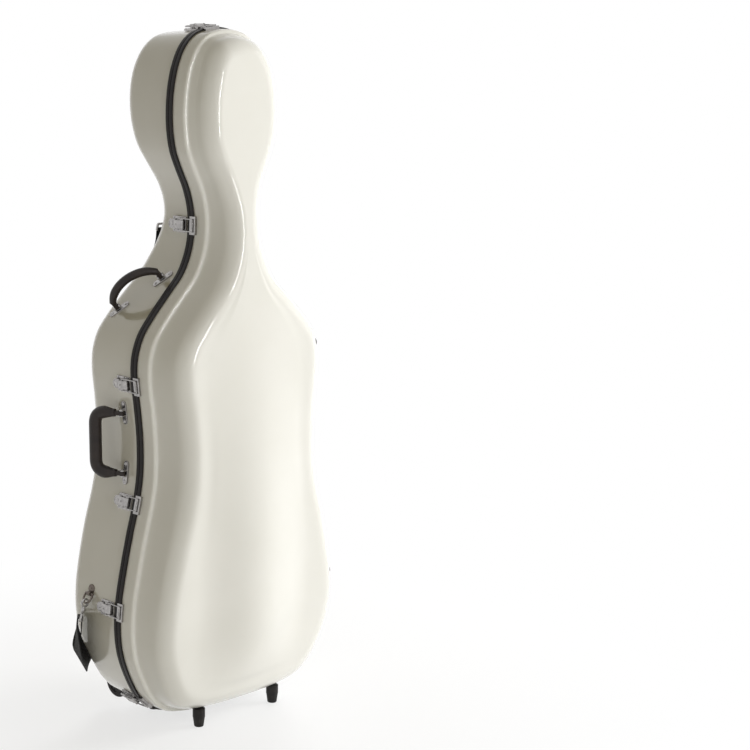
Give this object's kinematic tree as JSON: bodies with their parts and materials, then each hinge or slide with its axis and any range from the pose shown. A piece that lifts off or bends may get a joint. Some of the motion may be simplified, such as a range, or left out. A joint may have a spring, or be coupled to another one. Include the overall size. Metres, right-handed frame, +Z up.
{
  "type": "cello hard case",
  "caption": "Hard shell case for a cello with hinged lid, draw latches, carrying grips, fold-down pull handle, wheels, bumpers and a shoulder strap on snap hooks.",
  "frame": {"origin": "on the floor under the middle of the whole case's box, where it stands on its four feet", "axes": "+Z up to the head, -Y to the lid's front, +Y to the base's back, +X to the hinge side"},
  "size_m": [0.5474, 0.3738, 1.3518],
  "materials": {
    "painted_shell": "gloss",
    "black_band": "satin",
    "lining_cloth": "plush",
    "nickel": "polished",
    "black_rubber": "matte",
    "grip_plastic": "satin",
    "black_plastic": "satin",
    "wheel_tyre": "matte",
    "black_webbing": "woven"
  },
  "bodies": {
    "base": {"base_shell": "painted_shell", "base_edge_band": "black_band", "base_lining": "lining_cloth", "hinge_upper_base_leaf": "nickel", "hinge_lower_base_leaf": "nickel", "side_handle_bracket_lower": "nickel", "side_handle_bracket_upper": "nickel", "shoulder_handle_left_bracket_lower": "nickel", "shoulder_handle_left_bracket_upper": "nickel", "shoulder_handle_right_bracket_lower": "nickel", "shoulder_handle_right_bracket_upper": "nickel", "pull_handle_hinge_block": "black_plastic", "wheel_housing_left": "black_plastic", "wheel_housing_right": "black_plastic", "back_peg_upper_left": "black_rubber", "back_peg_upper_right": "black_rubber", "back_peg_lower_left": "black_rubber", "back_peg_lower_right": "black_rubber", "base_foot_left": "black_rubber", "base_foot_right": "black_rubber", "base_bumper_upper": "black_rubber", "base_bumper_lower": "black_rubber", "upper_snap_hook": "nickel", "lower_snap_hook": "nickel", "strap_webbing": "black_webbing", "shoulder_pad": "black_rubber", "strap_slider": "nickel"},
    "lid": {"lid_shell": "painted_shell", "lid_edge_band": "black_band", "lid_lining": "lining_cloth", "hinge_upper_lid_leaf": "nickel", "hinge_lower_lid_leaf": "nickel", "lid_foot_left": "black_rubber", "lid_foot_right": "black_rubber", "lid_bumper_upper": "black_rubber", "lid_bumper_lower": "black_rubber"},
    "lever_top": {"latch_lever_top": "nickel"},
    "bail_top": {"latch_bail_top": "nickel"},
    "lever_neck_left": {"latch_lever_neck_left": "nickel"},
    "bail_neck_left": {"latch_bail_neck_left": "nickel"},
    "lever_neck_right": {"latch_lever_neck_right": "nickel"},
    "bail_neck_right": {"latch_bail_neck_right": "nickel"},
    "lever_shoulder_left": {"latch_lever_shoulder_left": "nickel"},
    "bail_shoulder_left": {"latch_bail_shoulder_left": "nickel"},
    "lever_waist_left": {"latch_lever_waist_left": "nickel"},
    "bail_waist_left": {"latch_bail_waist_left": "nickel"},
    "lever_hip_left": {"latch_lever_hip_left": "nickel"},
    "bail_hip_left": {"latch_bail_hip_left": "nickel"},
    "lever_foot_left": {"latch_lever_foot_left": "nickel"},
    "bail_foot_left": {"latch_bail_foot_left": "nickel"},
    "lever_foot_right": {"latch_lever_foot_right": "nickel"},
    "bail_foot_right": {"latch_bail_foot_right": "nickel"},
    "side_handle": {"side_handle_grip": "grip_plastic"},
    "shoulder_handle_left": {"shoulder_handle_left_grip": "grip_plastic"},
    "shoulder_handle_right": {"shoulder_handle_right_grip": "grip_plastic"},
    "pull_handle_loop": {"pull_handle": "black_plastic"},
    "neck_d_ring": {"neck_ring": "nickel"},
    "side_d_ring": {"side_ring": "nickel"},
    "wheel_left": {"wheel_left": "wheel_tyre"},
    "wheel_right": {"wheel_right": "wheel_tyre"}
  },
  "joints": [
    {"name": "lid_hinge", "type": "hinge", "parent": "base", "child": "lid", "pos_m": [0.24525, -0.03877, 0.48173], "axis": [-0.095, 0, 0.9955], "range_deg": [0, 120]},
    {"name": "lever_top_pivot", "type": "hinge", "parent": "base", "child": "lever_top", "pos_m": [-0.00263, -0.01977, 1.34648], "axis": [0.9941, 0, 0.1086], "range_deg": [0, 120]},
    {"name": "bail_top_pivot", "type": "hinge", "parent": "lever_top", "child": "bail_top", "pos_m": [-0.00263, -0.00877, 1.34648], "axis": [0.9941, 0, 0.1086], "range_deg": [-120, 0]},
    {"name": "lever_neck_left_pivot", "type": "hinge", "parent": "base", "child": "lever_neck_left", "pos_m": [-0.05025, -0.01977, 0.97303], "axis": [0.0347, 0, 0.9994], "range_deg": [0, 120]},
    {"name": "bail_neck_left_pivot", "type": "hinge", "parent": "lever_neck_left", "child": "bail_neck_left", "pos_m": [-0.05025, -0.00877, 0.97303], "axis": [0.0347, 0, 0.9994], "range_deg": [-120, 0]},
    {"name": "lever_neck_right_pivot", "type": "hinge", "parent": "base", "child": "lever_neck_right", "pos_m": [0.07473, -0.01977, 0.97303], "axis": [0.0347, 0, -0.9994], "range_deg": [0, 120]},
    {"name": "bail_neck_right_pivot", "type": "hinge", "parent": "lever_neck_right", "child": "bail_neck_right", "pos_m": [0.07473, -0.00877, 0.97303], "axis": [0.0347, 0, -0.9994], "range_deg": [-120, 0]},
    {"name": "lever_shoulder_left_pivot", "type": "hinge", "parent": "base", "child": "lever_shoulder_left", "pos_m": [-0.19265, -0.01977, 0.67902], "axis": [-0.1129, 0, 0.9936], "range_deg": [0, 120]},
    {"name": "bail_shoulder_left_pivot", "type": "hinge", "parent": "lever_shoulder_left", "child": "bail_shoulder_left", "pos_m": [-0.19265, -0.00877, 0.67902], "axis": [-0.1129, 0, 0.9936], "range_deg": [-120, 0]},
    {"name": "lever_waist_left_pivot", "type": "hinge", "parent": "base", "child": "lever_waist_left", "pos_m": [-0.19282, -0.01977, 0.45129], "axis": [0.2393, 0, 0.971], "range_deg": [0, 120]},
    {"name": "bail_waist_left_pivot", "type": "hinge", "parent": "lever_waist_left", "child": "bail_waist_left", "pos_m": [-0.19282, -0.00877, 0.45129], "axis": [0.2393, 0, 0.971], "range_deg": [-120, 0]},
    {"name": "lever_hip_left_pivot", "type": "hinge", "parent": "base", "child": "lever_hip_left", "pos_m": [-0.23854, -0.01977, 0.24794], "axis": [0.0977, 0, 0.9952], "range_deg": [0, 120]},
    {"name": "bail_hip_left_pivot", "type": "hinge", "parent": "lever_hip_left", "child": "bail_hip_left", "pos_m": [-0.23854, -0.00877, 0.24794], "axis": [0.0977, 0, 0.9952], "range_deg": [-120, 0]},
    {"name": "lever_foot_left_pivot", "type": "hinge", "parent": "base", "child": "lever_foot_left", "pos_m": [-0.17815, -0.01977, 0.05207], "axis": [-0.7125, 0, 0.7016], "range_deg": [0, 120]},
    {"name": "bail_foot_left_pivot", "type": "hinge", "parent": "lever_foot_left", "child": "bail_foot_left", "pos_m": [-0.17815, -0.00877, 0.05207], "axis": [-0.7125, 0, 0.7016], "range_deg": [-120, 0]},
    {"name": "lever_foot_right_pivot", "type": "hinge", "parent": "base", "child": "lever_foot_right", "pos_m": [0.20264, -0.01977, 0.05207], "axis": [-0.7125, 0, -0.7016], "range_deg": [0, 120]},
    {"name": "bail_foot_right_pivot", "type": "hinge", "parent": "lever_foot_right", "child": "bail_foot_right", "pos_m": [0.20264, -0.00877, 0.05207], "axis": [-0.7125, 0, -0.7016], "range_deg": [-120, 0]},
    {"name": "side_handle_pivot", "type": "hinge", "parent": "base", "child": "side_handle", "pos_m": [-0.18629, 0.00222, 0.56241], "axis": [-0.0133, 0, 0.9999], "range_deg": [-6, 126]},
    {"name": "shoulder_handle_left_pivot", "type": "hinge", "parent": "base", "child": "shoulder_handle_left", "pos_m": [-0.11558, 0.03234, 0.84492], "axis": [0.5145, -0.6297, 0.582], "range_deg": [-66, 60]},
    {"name": "shoulder_handle_right_pivot", "type": "hinge", "parent": "base", "child": "shoulder_handle_right", "pos_m": [0.14007, 0.03234, 0.84492], "axis": [0.5145, 0.6297, -0.582], "range_deg": [-66, 60]},
    {"name": "pull_handle_loop_pivot", "type": "hinge", "parent": "base", "child": "pull_handle_loop", "pos_m": [0.01224, 0.11304, 1.26573], "axis": [1, 0, 0], "range_deg": [0, 170]},
    {"name": "neck_d_ring_pivot", "type": "hinge", "parent": "base", "child": "neck_d_ring", "pos_m": [0.01224, 0.07581, 0.99907], "axis": [1, 0, 0], "range_deg": [-8, 8]},
    {"name": "side_d_ring_pivot", "type": "hinge", "parent": "base", "child": "side_d_ring", "pos_m": [-0.23185, 0.04949, 0.26359], "axis": [0.0475, 0.9989, 0], "range_deg": [-8, 8]},
    {"name": "wheel_left_spin", "type": "hinge", "parent": "base", "child": "wheel_left", "pos_m": [-0.12576, 0.08824, 0.05], "axis": [1, 0, 0], "continuous": true},
    {"name": "wheel_right_spin", "type": "hinge", "parent": "base", "child": "wheel_right", "pos_m": [0.15024, 0.08824, 0.05], "axis": [1, 0, 0], "continuous": true}
  ],
  "couplings": [
    {"joint": "bail_top_pivot", "follows": "lever_top_pivot", "ratio": -1},
    {"joint": "bail_neck_left_pivot", "follows": "lever_neck_left_pivot", "ratio": -1},
    {"joint": "bail_neck_right_pivot", "follows": "lever_neck_right_pivot", "ratio": -1},
    {"joint": "bail_shoulder_left_pivot", "follows": "lever_shoulder_left_pivot", "ratio": -1},
    {"joint": "bail_waist_left_pivot", "follows": "lever_waist_left_pivot", "ratio": -1},
    {"joint": "bail_hip_left_pivot", "follows": "lever_hip_left_pivot", "ratio": -1},
    {"joint": "bail_foot_left_pivot", "follows": "lever_foot_left_pivot", "ratio": -1},
    {"joint": "bail_foot_right_pivot", "follows": "lever_foot_right_pivot", "ratio": -1}
  ]
}
